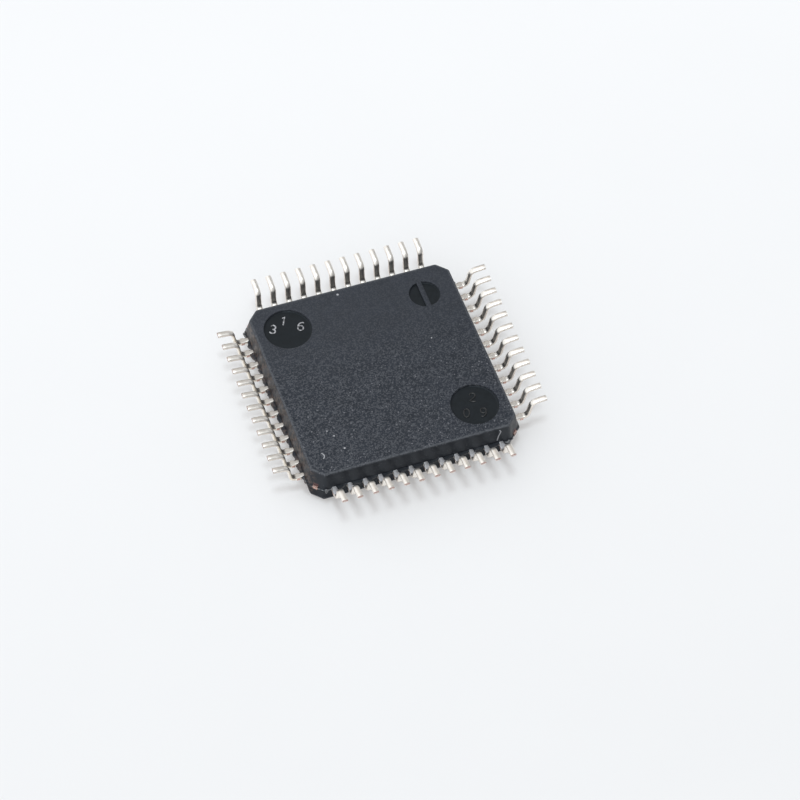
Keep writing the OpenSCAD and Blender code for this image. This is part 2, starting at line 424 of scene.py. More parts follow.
def all_round(side):
    """The points of one side, and the same turned to the other three."""
    return np.concatenate([turned(side, a) for a in TURNS])


def grid_lines(place, core):
    """Lines of a face's grid, spaced as the places along a side, and the ring of points round its square."""
    lines = np.append(core * place[:, 0] / abs(place[0, 0]), core)
    return lines, all_round(np.stack([lines[:-1], np.full(len(place), -core)], -1))


def body_surface(sizes, marks, lead, seed):
    """The body's closed surface: two faces on a grid, joined by rows carried round the outline."""
    half, height = BODY_HIGH.x, BODY_HIGH.z
    place, normal = side_outline(half, sizes.corner_cut, sizes.corner_round)
    outline, outward = all_round(place), all_round(normal)
    rows = body_profile(sizes, height, lead)
    reach = flash_reach(outline, outward, rows[:, 1] - sizes.part_line, sizes, lead, seed)
    low_lines, low_ring = grid_lines(place, half - MARKING_FRAME)
    high_lines, high_ring = grid_lines(place, half - SOLDER_FRAME)
    rings = [level_ring(low_ring, 0.0)]
    for (inset, z), out in zip(rows, reach):
        rings.append(level_ring(outline + outward * (out - inset)[:, None], z))
    rings.append(level_ring(high_ring, height))
    side = (np.concatenate(rings), [ring_quads(len(rings), len(outline))])
    at = half - marks.recess_inset
    dot = half - marks.dimple_inset
    ease = 0.016 * MM
    margin = 0.015 * MM
    large = hollow_profile(marks.large_recess, height, marks.recess_depth, ease)
    small = hollow_profile(marks.small_recess, height, marks.recess_depth, ease)
    dimple = hollow_profile(marks.dimple, marks.dimple_depth, marks.dimple_depth, ease)
    dimple = [(radius, marks.dimple_depth - z) for radius, z in dimple]
    up = marks.recess_shift
    hollows = [
        ((-at, at + up), large, margin),
        ((at, up - at), large, margin),
        ((at, at + up), small, margin),
    ]
    solder = face_grid(high_lines, height, hollows)
    marking_points, marking_faces = face_grid(low_lines, 0.0, [((-dot, -dot), dimple, margin)])
    marking = (marking_points, [part[:, ::-1] for part in marking_faces])
    return weld(*join([side, solder, marking]))


def rib_surface(marks, height, centre):
    """A bar across the small recess: a section with eased top edges, carried straight along Y."""
    half = marks.rib / 2
    ease = 0.012 * MM
    top = height - 0.002 * MM
    floor = height - marks.recess_depth - ease
    reach = marks.small_recess + ease
    section = np.array([
        [-half, floor], [half, floor], [half, top - ease], [half - 0.3 * ease, top - 0.3 * ease],
        [half - ease, top], [ease - half, top], [0.3 * ease - half, top - 0.3 * ease], [-half, top - ease],
    ])
    count = len(section)
    x, z = centre[0] + section[:, 0], section[:, 1]
    ends = [np.column_stack([x, np.full(count, centre[1] + y), z]) for y in (reach, -reach)]
    return np.concatenate(ends), [ring_quads(2, count), end_caps(2, count)]


# ---------------------------------------------------------------- the formed leads


# Numbers of a lead's materials: matte tin, cut copper and lead edge.
TIN, COPPER, EDGE = range(3)

# Columns of a lead's section that lie on its two side faces.
SIDE_COLUMNS = [21, 22, 23, 0, 1, 9, 10, 11, 12, 13]


def lead_path(sizes):
    """Rows along a lead's centre line, and the number of the row at the dam bar's cut.

    The line runs flat from the inner end to the knee, turns up through the knee's arc, rises at its
    lean, turns down to the foot's slope through the heel's arc, and flattens to the tip. Each row
    has x, z, slope angle, half width, share of the outer pitch, shrink of its section and radius of
    the section's corners.
    """
    half = BODY_HIGH.x
    mid = LEAD_LOW.z + sizes.thickness / 2
    foot = LEAD_HIGH.z - sizes.thickness / 2
    finger = LEAD_LOW.x
    root = half - sizes.root
    knee_x = half + sizes.shoulder
    stub = half + sizes.stub_gap
    end = stub + sizes.stub_length
    step = 0.004 * MM
    flat_x = np.concatenate([
        np.linspace(finger, root, 6), np.linspace(root, stub - step, 5)[1:],
        [stub + step, end - step, end + step], np.linspace(end + step, knee_x, 4)[1:],
    ])
    width = np.interp(flat_x, [finger, root], [sizes.finger_width, sizes.width])
    width = np.where((flat_x > stub) & (flat_x < end), sizes.stub_width, width)
    turn = math.pi / 2 - sizes.lean
    knee_r = sizes.knee + sizes.thickness / 2
    heel_r = sizes.heel + sizes.thickness / 2
    a = np.linspace(0, turn, 11)[1:]
    knee = np.stack([knee_x + knee_r * np.sin(a), mid + knee_r * (1 - np.cos(a))], -1)
    sag = sizes.foot_ramp * sizes.foot_slope
    rise = foot - sag - mid - knee_r * (1 - math.cos(turn))
    rise -= heel_r * (math.cos(sizes.foot_slope) - math.cos(turn))
    run = rise / math.sin(turn)
    along = np.array([math.cos(turn), math.sin(turn)])
    riser = knee[-1] + np.array([0.06, 0.5, 0.94])[:, None] * run * along
    heel_start = knee[-1] + run * along
    b = np.linspace(turn, sizes.foot_slope, 13)
    centre = heel_start + heel_r * np.array([math.sin(turn), -math.cos(turn)])
    heel = centre + heel_r * np.stack([-np.sin(b), np.cos(b)], -1)
    tip = LEAD_HIGH.x
    peak = heel[-1][0] + sizes.foot_ramp
    before = 0.06 * MM
    sole = np.array([[peak - before, foot - before * sizes.foot_slope], [peak, foot]])
    share = np.array([0.35, 0.7, 0.93, 0.98, 1.0])
    toe = np.stack([peak + share * (tip - peak), np.full(len(share), foot)], -1)
    flat = np.stack([flat_x, np.full(len(flat_x), mid)], -1)
    x, z = np.concatenate([flat, knee, riser, heel, sole, toe]).T
    start, level = np.zeros(len(flat_x)), np.zeros(len(share) + 1)
    slope = np.concatenate([start, a, np.full(len(riser), turn), b, [sizes.foot_slope], level])
    half_width = np.concatenate([width, np.full(len(x) - len(width), sizes.width)]) / 2
    fan = np.interp(x, [finger, root], [0, 1])
    shrink = np.ones(len(x))
    shrink[-1] = 0.93
    cut = (x > stub) & (x < end)
    radius = np.where(cut, 0.25, 1.0) * sizes.corner
    return x, z, slope, half_width, fan, shrink, radius, np.flatnonzero(cut)[0]


def section_offsets(half_width, half_height, radius, crown):
    """A rounded rectangle for each row: four quarter arcs, each with a point beside it on the side face.

    The arcs keep the crown's height below the two wide faces, and two points on each wide face
    stand at its full height, so that these faces are slightly bowed.
    """
    radius, crown = radius[:, None], crown[:, None]
    quarter = np.radians([0, 0, 30, 60, 90, 90])
    shift = np.array([-0.15, 0, 0, 0, 0, 0.15])
    angle = np.concatenate([quarter + q for q in np.radians([0, 90, 180, 270])])
    shift = np.tile(shift, 4) * radius
    side = np.repeat([1, -1, -1, 1], 6)
    over = np.repeat([1, 1, -1, -1], 6)
    across = side * (half_width[:, None] - radius) + radius * np.cos(angle) - shift * np.sin(angle)
    up = over * (half_height[:, None] - crown - radius) + radius * np.sin(angle) + shift * np.cos(angle)
    bowed = [5, 6, 17, 18]
    across[:, bowed] = 0.4 * side[bowed] * (half_width[:, None] - radius)
    up[:, bowed] = over[bowed] * half_height[:, None]
    return across, up


def lead_surface(sizes, row, k, stray):
    """Lead k of a row: the section carried along the path, spread over the row and turned to its side.

    The third result is the finish of each face.
    """
    x, z, slope, half_width, fan, shrink, radius, stub_row = lead_path(sizes)
    crown = sizes.crown * np.clip((z - LEAD_LOW.z - 2 * sizes.thickness) / sizes.thickness, 0, 1)
    across, up = section_offsets(half_width * shrink, sizes.thickness / 2 * shrink, radius, crown)
    outer = ((LEADS_PER_SIDE - 1) / 2 - k) * sizes.pitch
    inner = ((LEADS_PER_SIDE - 1) / 2 - k) * sizes.finger_pitch
    beyond = np.clip((x - BODY_HIGH.x) / (x[-1] - BODY_HIGH.x), 0, 1)
    middle = inner + (outer - inner) * fan + stray * beyond
    px = x[:, None] - up * np.sin(slope)[:, None]
    py = middle[:, None] + across
    pz = z[:, None] + up * np.cos(slope)[:, None]
    flat = turned(np.stack([px, py], -1), math.radians(180 - 90 * row))
    points = np.concatenate([flat, pz[..., None]], -1).reshape(-1, 3)
    columns = across.shape[1]
    grid = np.full((len(x) - 1, columns), TIN)
    grid[:, SIDE_COLUMNS] = EDGE
    grid[stub_row, SIDE_COLUMNS] = COPPER
    grid[-1, :] = COPPER
    finish = np.append(grid, [TIN, COPPER])
    return points, [ring_quads(len(x), columns), end_caps(len(x), columns)], finish


# ---------------------------------------------------------------- raised cavity digits

ARC_POINTS = 13

# For each recess: the signs of its x and y, its turn in degrees, and its digits with their places in mm.
CAVITY_DIGITS = {
    "cavity_digits_left": (-1, 1, -27, ((3, -0.44, 0.18), (1, -0.01, 0.40), (6, 0.44, 0.02))),
    "cavity_digits_right": (1, -1, -19, ((2, 0.04, 0.32), (0, -0.34, -0.20), (9, 0.17, -0.33))),
}


def bow(cx, cy, rx, ry, start, end):
    """Points of an elliptical arc between two angles in degrees."""
    a = np.radians(np.linspace(start, end, ARC_POINTS))
    return np.stack([cx + rx * np.cos(a), cy + ry * np.sin(a)], -1)


# The straight lower part of a two.
TWO_BASE = [[0.0, -0.2], [-0.28, -0.5], [0.0, -0.5], [0.28, -0.5]]

# The strokes of each digit in a box one unit high and 0.6 wide, centred on its middle.
DIGIT_STROKES = {
    0: [bow(0, 0, 0.28, 0.5, 90, 450)],
    1: [np.array([[-0.16, 0.3], [0.02, 0.5], [0.02, 0.0], [0.02, -0.5]])],
    2: [np.concatenate([bow(0, 0.22, 0.27, 0.28, 170, -35), TWO_BASE])],
    3: [bow(-0.02, 0.25, 0.25, 0.25, 150, -90), bow(-0.02, -0.25, 0.29, 0.25, 90, -150)],
    6: [np.concatenate([bow(0.1, 0.0, 0.38, 0.5, 75, 180), bow(0, -0.2, 0.28, 0.3, 180, 540)])],
    9: [np.concatenate([bow(-0.1, 0.0, 0.38, 0.5, -105, 0), bow(0, 0.2, 0.28, 0.3, 0, 360)])],
}


def stroke_surface(path, width, height, floor):
    """A half-round ridge: a half ellipse carried along a plane path, and much smaller at both ends.

    Its two lower edges lie just below the floor.
    """
    ahead = np.gradient(path, axis=0)
    ahead /= np.linalg.norm(ahead, axis=1)[:, None]
    side = np.stack([ahead[:, 1], -ahead[:, 0]], -1)
    path = np.concatenate([path[:1] - ahead[:1] * width / 2, path, path[-1:] + ahead[-1:] * width / 2])
    side = np.concatenate([side[:1], side, side[-1:]])
    full = np.ones(len(path))
    full[[0, -1]] = 0.15
    angle = np.radians([0, 25, 50, 75, 105, 130, 155, 180])
    out = full[:, None] * np.cos(angle) * width / 2
    up = full[:, None] * np.sin(angle) * height
    up[:, [0, -1]] = -0.01 * MM
    flat = path[:, None] + side[:, None] * out[..., None]
    points = np.concatenate([flat, (floor + up)[..., None]], -1).reshape(-1, 3)
    rows, columns = len(path), len(angle)
    return points, [ring_quads(rows, columns), end_caps(rows, columns)]


# ---------------------------------------------------------------- materials


def rgba(rgb, scale=1.0):
    """A colour property as a socket's four numbers."""
    return (rgb[0] * scale, rgb[1] * scale, rgb[2] * scale, 1.0)


class Nodes:
    """A node tree, with short calls to add nodes and join sockets."""

    def __init__(self, tree):
        self.tree = tree

    def put(self, socket, value):
        """A value goes on the socket, and an output socket is linked to it."""
        if isinstance(value, bpy.types.NodeSocket):
            self.tree.links.new(value, socket)
        else:
            socket.default_value = value

    def add(self, kind, inputs=None, **options):
        """A node of a kind, with its options and its inputs by name or number."""
        node = self.tree.nodes.new(kind)
        for key, value in options.items():
            setattr(node, key, value)
        for key, value in (inputs or {}).items():
            self.put(node.inputs[key], value)
        return node

    def split(self, vector):
        """The three parts of a vector."""
        return self.add("ShaderNodeSeparateXYZ", {0: vector}).outputs

    def math(self, operation, a, b=0.0, clamp=False):
        """A Math node's result."""
        return self.add("ShaderNodeMath", {0: a, 1: b}, operation=operation, use_clamp=clamp).outputs[0]

    def apart(self, a, b):
        """How far two values lie apart."""
        return self.math("ABSOLUTE", self.math("SUBTRACT", a, b))

    def vector_math(self, operation, a, b):
        """The number that a Vector Math node gives for two vectors."""
        return self.add("ShaderNodeVectorMath", {0: a, 1: b}, operation=operation).outputs["Value"]

    def toward(self, vector, direction):
        """The cosine of the angle between a unit vector and a direction."""
        return self.vector_math("DOT_PRODUCT", vector, Vector(direction).normalized())

    def gap(self, vector, place):
        """The distance to a place."""
        return self.vector_math("DISTANCE", vector, place)

    def noise(self, vector, size, detail=2.0, roughness=0.5):
        """Noise between 0 and 1 whose cells are about size metres across."""
        inputs = {"Vector": vector, "Scale": 1 / size, "Detail": detail, "Roughness": roughness}
        return self.add("ShaderNodeTexNoise", inputs).outputs["Fac"]

    def clouds(self, vector, size, low, high, to_low=0.0, to_high=1.0, detail=2.0, roughness=0.5):
        """Noise mapped from one range to another."""
        return self.ramp(self.noise(vector, size, detail, roughness), low, high, to_low, to_high)

    def cells(self, vector, size):
        """Distance to the middle of a random cell of about size metres, and that cell's own random value."""
        node = self.add("ShaderNodeTexVoronoi", {"Vector": vector, "Scale": 1 / size})
        chance = self.add("ShaderNodeSeparateColor", {"Color": node.outputs["Color"]}).outputs["Red"]
        return node.outputs["Distance"], chance

    def ramp(self, value, low, high, to_low=0.0, to_high=1.0, smooth=True):
        """A value mapped from one range to another, and kept inside it."""
        inputs = {"Value": value, "From Min": low, "From Max": high, "To Min": to_low, "To Max": to_high}
        kind = "SMOOTHSTEP" if smooth else "LINEAR"
        return self.add("ShaderNodeMapRange", inputs, interpolation_type=kind).outputs["Result"]

    def times(self, first, *others):
        """The product of values."""
        for value in others:
            first = self.math("MULTIPLY", first, value)
        return first

    def mix(self, share, a, b):
        """A blend of two colours."""
        node = self.add("ShaderNodeMix", data_type="RGBA")
        for name, value in (("Factor", share), ("A", a), ("B", b)):
            matching = [item for item in node.inputs if item.name == name and item.enabled]
            self.put(matching[0], value)
        return [item for item in node.outputs if item.enabled][0]

    def shades(self, share, rgb, dark, light):
        """A blend of a darker and a lighter shade of one colour."""
        return self.mix(share, rgba(rgb, dark), rgba(rgb, light))

    def bump(self, height, distance):
        """A bumped normal, where a height of 1 stands distance metres proud."""
        return self.add("ShaderNodeBump", {"Height": height, "Distance": distance}).outputs["Normal"]

    def grainy(self, vector, size, distance):
        """A normal bumped by fine noise."""
        return self.bump(self.noise(vector, size, 3.0), distance)


class Shader(Nodes):
    """A new material's node tree."""

    def __init__(self, name):
        self.material = bpy.data.materials.new(name)
        self.material.use_nodes = True
        super().__init__(self.material.node_tree)
        self.surface = self.tree.nodes["Principled BSDF"]

    def place(self):
        """Object coordinates."""
        return self.add("ShaderNodeTexCoord").outputs["Object"]

    def finish(self, **inputs):
        """Values and links onto the surface shader's own sockets."""
        for name, value in inputs.items():
            self.put(self.surface.inputs[name.replace("_", " ")], value)
        return self.material


# Marks in millimetres: x, y and radius of the specks and the crescent on the solder face, and x and z of
# points along the hair on the front flank.
SPECKS = (
    (-2.27, -2.05, 0.035),
    (-2.42, -1.81, 0.03),
    (-2.11, -2.59, 0.04),
    (-0.36, 3.16, 0.05),
    (1.9, 0.6, 0.03),
)
CRESCENT = (-2.915, -2.66, 0.115)
HAIR = ((2.71, 1.257), (2.75, 1.19), (2.72, 1.12), (2.67, 1.03), (2.62, 0.863))


def face_marks(s, at):
    """Pale marks on the solder face: a few specks, and a crescent, which is the right part of a thin ring."""
    cx, cy, bend = CRESCENT
    ring = s.apart(s.gap(at, (cx * MM, cy * MM, BODY_HIGH.z)), bend * MM)
    right = s.ramp(s.split(at)[0], (cx + 0.03) * MM, (cx + 0.07) * MM)
    mask = s.times(s.ramp(ring, 0.024 * MM, 0.008 * MM), right, 0.8)
    for px, py, radius in SPECKS:
        far = s.gap(at, (px * MM, py * MM, BODY_HIGH.z))
        mask = s.math("MAXIMUM", mask, s.ramp(far, radius * MM, 0.4 * radius * MM))
    return mask


def hair_mask(s, at):
    """A pale hair on the front flank: straight pieces from each of its points down to the next."""
    x, y, z = s.split(at)
    flank = s.ramp(y, 0.2 * MM - BODY_HIGH.y, 0.12 * MM - BODY_HIGH.y)
    mask = 0.0
    for (xa, za), (xb, zb) in zip(HAIR, HAIR[1:]):
        share = s.ramp(z, za * MM, zb * MM, smooth=False)
        line = s.math("ADD", xa * MM, s.times(share, (xb - xa) * MM))
        below = s.ramp(z, za * MM, (za + 0.006) * MM, 1, 0)
        above = s.ramp(z, zb * MM, (zb - 0.006) * MM, 1, 0)
        part = s.times(s.ramp(s.apart(x, line), 0.026 * MM, 0.010 * MM), flank, below, above)
        mask = s.math("MAXIMUM", mask, s.times(part, 0.8))
    return mask


def edge_distances(s, wide, deep):
    """How far a point lies inside the solder face's outline, and how far outside the body's at its widest."""
    body = settings().body
    half = BODY_HIGH.x
    shrink = (BODY_HIGH.z - body.part_line) * math.tan(body.draft)
    reach = s.math("MAXIMUM", wide, deep)
    slant = s.times(s.math("ADD", wide, deep), math.sqrt(0.5))
    slant_half = (2 * half - body.corner_cut) * math.sqrt(0.5)
    to_side = s.math("SUBTRACT", half - shrink, reach)
    to_chamfer = s.math("SUBTRACT", slant_half - shrink, slant)
    past = s.math("MAXIMUM", s.math("SUBTRACT", reach, half), s.math("SUBTRACT", slant, slant_half))
    return s.math("MINIMUM", to_side, to_chamfer), past


def grain_and_glint_mask(s, at, fine, front, wall):
    """Grain of the eroded face, partly painted glints: random cells and noise, stronger towards the front and
    the left row.
    """
    _, tone = s.cells(at, 0.036 * MM)
    grain_and_glint = s.math("ADD", s.ramp(tone, 0.3, 1.0, 0.0, 1.3), s.ramp(fine, 0.3, 0.75, -0.35, 0.3), clamp=True)
    grain_and_glint = s.math("ADD", s.ramp(front, 0, 1, 0.22, 0.0), s.times(grain_and_glint, s.ramp(front, 0, 1, 0.30, 1.0)))
    across = s.ramp(s.split(at)[0], -3.0 * MM, 3.0 * MM, 1.08, 0.80, smooth=False)
    return s.times(grain_and_glint, s.ramp(wall, 0, 1, 1.0, 0.05), across)


def filler_and_glint_mask(s, at, front, rim, wall):
    """Bright grains of filler and painted glints: the middles of a few random cells, with more of them at the
    front and the rim.
    """
    spot, chance = s.cells(at, 0.07 * MM)
    limit = s.ramp(s.math("ADD", front, rim), 0.0, 2.0, 0.99, 0.72, smooth=False)
    chosen = s.ramp(s.math("SUBTRACT", chance, limit), 0.0, 0.12)
    fewer = s.times(s.ramp(wall, 0, 1, 1.0, 0.12), s.ramp(front, 0, 1, 0.3, 1.0))
    return s.times(s.ramp(spot, 0.45, 0.15), chosen, fewer)


def flash_mask(s, at, wide, deep, past):
    """Flash past the body's sides, on the chamfers and beside the outer leads."""
    outer = (LEADS_PER_SIDE - 1) / 2 * settings().leads.pitch + 0.09 * MM
    ends = s.ramp(s.math("MINIMUM", wide, deep), outer, outer + 0.04 * MM)
    return s.times(ends, s.ramp(past, 0.002 * MM, 0.02 * MM), s.clouds(at, 0.05 * MM, 0.4, 0.6, 0.25, 1.0))


def stain_mask(s, z, wide, deep, wall):
    """A patch on each chamfer, right above the cut end of its tie bar."""
    over = settings().body.part_line + 0.06 * MM
    off = s.times(s.apart(wide, deep), math.sqrt(0.5))
    foot = s.ramp(z, over - 0.02 * MM, over)
    head = s.ramp(z, over + 0.12 * MM, over + 0.08 * MM)
    return s.times(s.ramp(off, 0.105 * MM, 0.07 * MM), foot, head, wall)


def compound_material(s, at, finishes):
    """Matte moulding compound.

    The solder face is eroded and grainy, its pale grain partly painted glints, with scattered bright
    filler, partly painted glints too, that thickens towards the front row and along the edge, and a
    painted highlight round its rim. The side walls are smoother above the parting line and dull below
    it. Flash is paler, a rusty stain lies above each tie bar, and the left flank carries a mottled
    brown painted reflection of the leads.
    """
    x, y, z = s.split(at)
    wide, deep = s.math("ABSOLUTE", x), s.math("ABSOLUTE", y)
    inside, past = edge_distances(s, wide, deep)
    wall = s.ramp(inside, 0.004 * MM, -0.02 * MM)
    rim = s.times(s.ramp(inside, 0.085 * MM, 0.03 * MM), s.ramp(inside, -0.012 * MM, 0.004 * MM))
    front = s.ramp(y, 3.2 * MM, -1.4 * MM)
    left = s.ramp(x, 0.3 * MM - BODY_HIGH.x, 0.1 * MM - BODY_HIGH.x)
    fine = s.noise(at, 0.09 * MM, 3.0, 0.7)
    mottle = s.clouds(at, 0.5 * MM, 0.3, 0.7, detail=4.0, roughness=0.6)
    # Mottle of the painted reflection of the leads on the left flank.
    reflection_mottle = s.clouds(at, 0.14 * MM, 0.42, 0.68, detail=4.0, roughness=0.65)

    base = s.shades(mottle, finishes.compound, 0.85, 1.2)
    # Pale grain, partly painted glints, stronger towards the front.
    base = s.mix(grain_and_glint_mask(s, at, fine, front, wall), base, rgba(finishes.grain_and_glint))
    base = s.mix(s.times(wall, 0.5), base, (0, 0, 0, 1))
    layers = (
        # Bright filler grains, partly painted glints, thickest at the front and the rim.
        (filler_and_glint_mask(s, at, front, rim, wall), finishes.filler_and_glint),
        # Painted highlight along the rim of the solder face.
        (s.times(rim, s.clouds(at, 0.06 * MM, 0.35, 0.65, 0.35, 1.0, detail=3.0)), finishes.rim_highlight),
        (flash_mask(s, at, wide, deep, past), finishes.flash),
        (stain_mask(s, z, wide, deep, wall), finishes.stain),
        # Painted reflection of the leads, mottled brown, on the left flank.
        (s.times(wall, left, reflection_mottle), finishes.lead_reflection),
        (s.math("MAXIMUM", face_marks(s, at), hair_mask(s, at)), finishes.pale_mark_and_highlight),
    )
    for mask, layer in layers:
        base = s.mix(mask, base, rgba(layer))

    rough = s.clouds(at, 0.2 * MM, 0.3, 0.7, 0.56, 0.68)
    rough = s.math("SUBTRACT", rough, s.times(wall, 0.24))
    line = settings().body.part_line
    lower = s.ramp(z, line, line - 0.06 * MM)
    rough = s.math("ADD", rough, s.times(lower, 0.45), clamp=True)
    normal = s.bump(s.times(fine, s.ramp(wall, 0, 1, 1.0, 0.25)), 0.014 * MM)
    s.finish(Specular_Tint=(0.82, 0.91, 1.0, 1.0), Specular_IOR_Level=0.38)
    return s.finish(Base_Color=base, Roughness=rough, Normal=normal)


def polished_material(s, at, finishes):
    """Polished compound of the recess floors: darker, smoother, with faint lapping waves."""
    base = s.shades(s.clouds(at, 0.3 * MM, 0.35, 0.65, detail=3.0), finishes.polished, 0.85, 1.3)
    rough = s.clouds(at, 0.1 * MM, 0.3, 0.7, 0.30, 0.42)
    s.finish(Specular_Tint=(0.78, 0.91, 1.0, 1.0), Specular_IOR_Level=0.36)
    return s.finish(Base_Color=base, Roughness=rough, Normal=s.grainy(at, 0.09 * MM, 0.0015 * MM))


def raised_material(s, at, finishes):
    """Compound of the raised digits, with a painted highlight on their crests on the side of the left row."""
    x, _, z = s.split(at)
    floor = BODY_HIGH.z - settings().marks.recess_depth
    crest = s.ramp(z, floor + 0.004 * MM, floor + 0.02 * MM)
    left = s.ramp(x, -1.0 * MM, -2.2 * MM, 0.02, 1.0)
    # Painted highlight: the crests of the digits on the left side are painted pale.
    crest_highlight = s.times(crest, left, s.clouds(at, 0.1 * MM, 0.4, 0.55, 0.3, 1.0))
    base = s.mix(crest_highlight, rgba(finishes.polished), rgba(finishes.pale_mark_and_highlight))
    return s.finish(Base_Color=base, Roughness=0.33, Normal=s.grainy(at, 0.05 * MM, 0.002 * MM))


def tin_material(s, at, finishes):
    """Matte tin plating: satin metal with faint clouds.

    The shoulders are darker, and those of the front row carry a grey painted reflection of the dark
    body.
    """
    _, y, z = s.split(at)
    top = LEAD_LOW.z + settings().leads.thickness
    shoulders = s.ramp(z, top + 0.13 * MM, top + 0.05 * MM)
    front = -BODY_HIGH.y
    # Painted reflection of the dark body on the front row's shoulders.
    body_reflection = s.times(
        s.ramp(y, front - 0.34 * MM, front - 0.24 * MM),
        s.ramp(y, front + 0.3 * MM, front + 0.1 * MM),
        s.clouds(at, 0.045 * MM, 0.36, 0.6, 0.95, 0.5, detail=3.0, roughness=0.7),
    )
    cloud = s.clouds(at, 0.15 * MM, 0.3, 0.7, detail=3.0, roughness=0.6)
    base = s.shades(cloud, finishes.tin, 0.90, 1.05)
    base = s.mix(shoulders, base, rgba(finishes.tin, 0.72))
    base = s.mix(body_reflection, base, rgba(finishes.body_reflection))
    rough = s.clouds(at, 0.05 * MM, 0.3, 0.7, 0.28, 0.42, detail=3.0)
    rough = s.math("ADD", rough, s.times(body_reflection, 0.12))
    normal = s.grainy(at, 0.022 * MM, 0.0003 * MM)
    return s.finish(Base_Color=base, Metallic=1.0, Roughness=rough, Normal=normal)


def edge_material(s, at, finishes):
    """Side faces of the leads, where the plating lies dull over the etched metal."""
    x, _, z = s.split(at)
    foot = LEAD_HIGH.z - settings().leads.thickness
    left = s.ramp(x, 0.1 * MM - BODY_HIGH.x, -0.05 * MM - BODY_HIGH.x)
    # Painted light: the left row's risers take a tan tint for the way light falls on them there.
    riser = s.times(left, s.ramp(z, foot - 0.01 * MM, foot - 0.09 * MM))
    cloud = s.clouds(at, 0.08 * MM, 0.3, 0.7, detail=3.0, roughness=0.6)
    base = s.mix(riser, s.shades(cloud, finishes.edge, 0.92, 1.05), rgba(finishes.shade))
    normal = s.grainy(at, 0.02 * MM, 0.0012 * MM)
    return s.finish(Base_Color=base, Metallic=0.55, Roughness=0.42, Normal=normal)


def copper_material(s, at, finishes):
    """Sheared copper alloy, smeared with tin, with a darker break along the upper edge of a tip."""
    x, y, z = s.split(at)
    reach = s.math("MAXIMUM", s.math("ABSOLUTE", x), s.math("ABSOLUTE", y))
    tip = s.ramp(reach, LEAD_HIGH.x - 0.3 * MM, LEAD_HIGH.x - 0.2 * MM)
    smear = s.clouds(at, 0.05 * MM, 0.35, 0.7, 0.0, 0.45, detail=3.0)
    smear = s.math("ADD", smear, s.times(tip, 0.4))
    base = s.mix(smear, rgba(finishes.copper), rgba(finishes.tin, 0.95))
    upper = s.ramp(z, LEAD_HIGH.z - 0.045 * MM, LEAD_HIGH.z - 0.03 * MM)
    broken = s.times(upper, s.clouds(at, 0.08 * MM, 0.3, 0.5, 0.6, 1.0))
    base = s.mix(broken, base, rgba(finishes.broken))
    normal = s.grainy(at, 0.016 * MM, 0.002 * MM)
    return s.finish(Base_Color=base, Metallic=1.0, Roughness=0.36, Normal=normal)


def gold_material(s, at, finishes):
    """Gold of the bond wires, clouded by noise, with a fine grain."""
    size = 0.02 * MM
    base = s.shades(s.clouds(at, size, 0.3, 0.7), finishes.gold, 0.9, 1.05)
    normal = s.grainy(at, size / 4, size / 60)
    return s.finish(Base_Color=base, Metallic=1.0, Roughness=0.2, Normal=normal)


def silicon_material(s, at, finishes):
    """A polished die with faint rows of circuit blocks."""
    inputs = {"Vector": at, "Scale": 1 / (0.25 * MM)}
    blocks = s.add("ShaderNodeTexVoronoi", inputs, distance="CHEBYCHEV")
    tone = s.add("ShaderNodeSeparateColor", {"Color": blocks.outputs["Color"]}).outputs["Green"]
    base = s.shades(tone, finishes.silicon, 0.7, 1.3)
    return s.finish(Base_Color=base, Metallic=0.6, Roughness=s.ramp(tone, 0, 1, 0.15, 0.3))


def adhesive_material(s, at, finishes):
    """Silver-filled epoxy: a fine glitter in grey resin."""
    glitter = s.clouds(at, 0.02 * MM, 0.5, 0.7)
    base = s.shades(glitter, finishes.adhesive, 0.8, 1.5)
    return s.finish(Base_Color=base, Metallic=0.3, Roughness=0.5, Normal=s.bump(glitter, 0.002 * MM))


def floor_material(s, at, finishes):
    """A smooth pale card with the faintest mottle, a little lighter away from the front.

    It glows faintly to the camera and in mirrors, so that it shows pale without more light.
    """
    fade = s.ramp(s.split(at)[1], -16 * MM, 14 * MM, smooth=False)
    mottle = s.clouds(at, 4 * MM, 0.3, 0.7, -0.03, 0.03, detail=3.0)
    base = s.shades(s.math("ADD", fade, mottle), finishes.floor, 0.91, 1.0)
    ray = s.add("ShaderNodeLightPath").outputs
    seen = s.times(ray["Is Camera Ray"], 0.24)
    mirrored = s.times(ray["Is Glossy Ray"], 0.38)
    s.finish(Specular_IOR_Level=0.1, Emission_Color=(1.0, 0.94, 0.88, 1.0))
    return s.finish(Base_Color=base, Roughness=0.7, Emission_Strength=s.math("ADD", seen, mirrored))


MATERIALS = {
    "moulding_compound": compound_material,
    "polished_compound": polished_material,
    "raised_compound": raised_material,
    "matte_tin": tin_material,
    "lead_edge": edge_material,
    "cut_copper": copper_material,
    "bond_gold": gold_material,
    "die_silicon": silicon_material,
    "silver_epoxy": adhesive_material,
    "pale_card": floor_material,
}


# ---------------------------------------------------------------- operators


def settings():
    """The scene's property groups."""
    return bpy.context.scene.flat_pack


def material(name):
    """A material by name, made the first time it is asked for."""
    made = bpy.data.materials.get(name)
    if made is None:
        s = Shader(name)
        made = MATERIALS[name](s, s.place(), settings().finishes)
    return made


def dress(node, made):
    """A node of the frame takes a material."""
    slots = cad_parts[node].data.materials
    slots.clear()
    slots.append(made)


def recess_floors(points, faces, count, depth):
    """1 for each face on a recess's floor that uses the first count points, and 0 for every other face."""
    middle = np.concatenate([points[part].mean(1) for part in faces])
    last = np.concatenate([part.max(1) for part in faces])
    sunk = (middle[:, 2] < BODY_HIGH.z - 0.6 * depth) & (middle[:, 2] > BODY_HIGH.z - 1.2 * depth)
    within = np.abs(middle[:, :2]).max(1) < BODY_HIGH.x - 0.35 * MM
    return (sunk & within & (last < count)).astype(int)


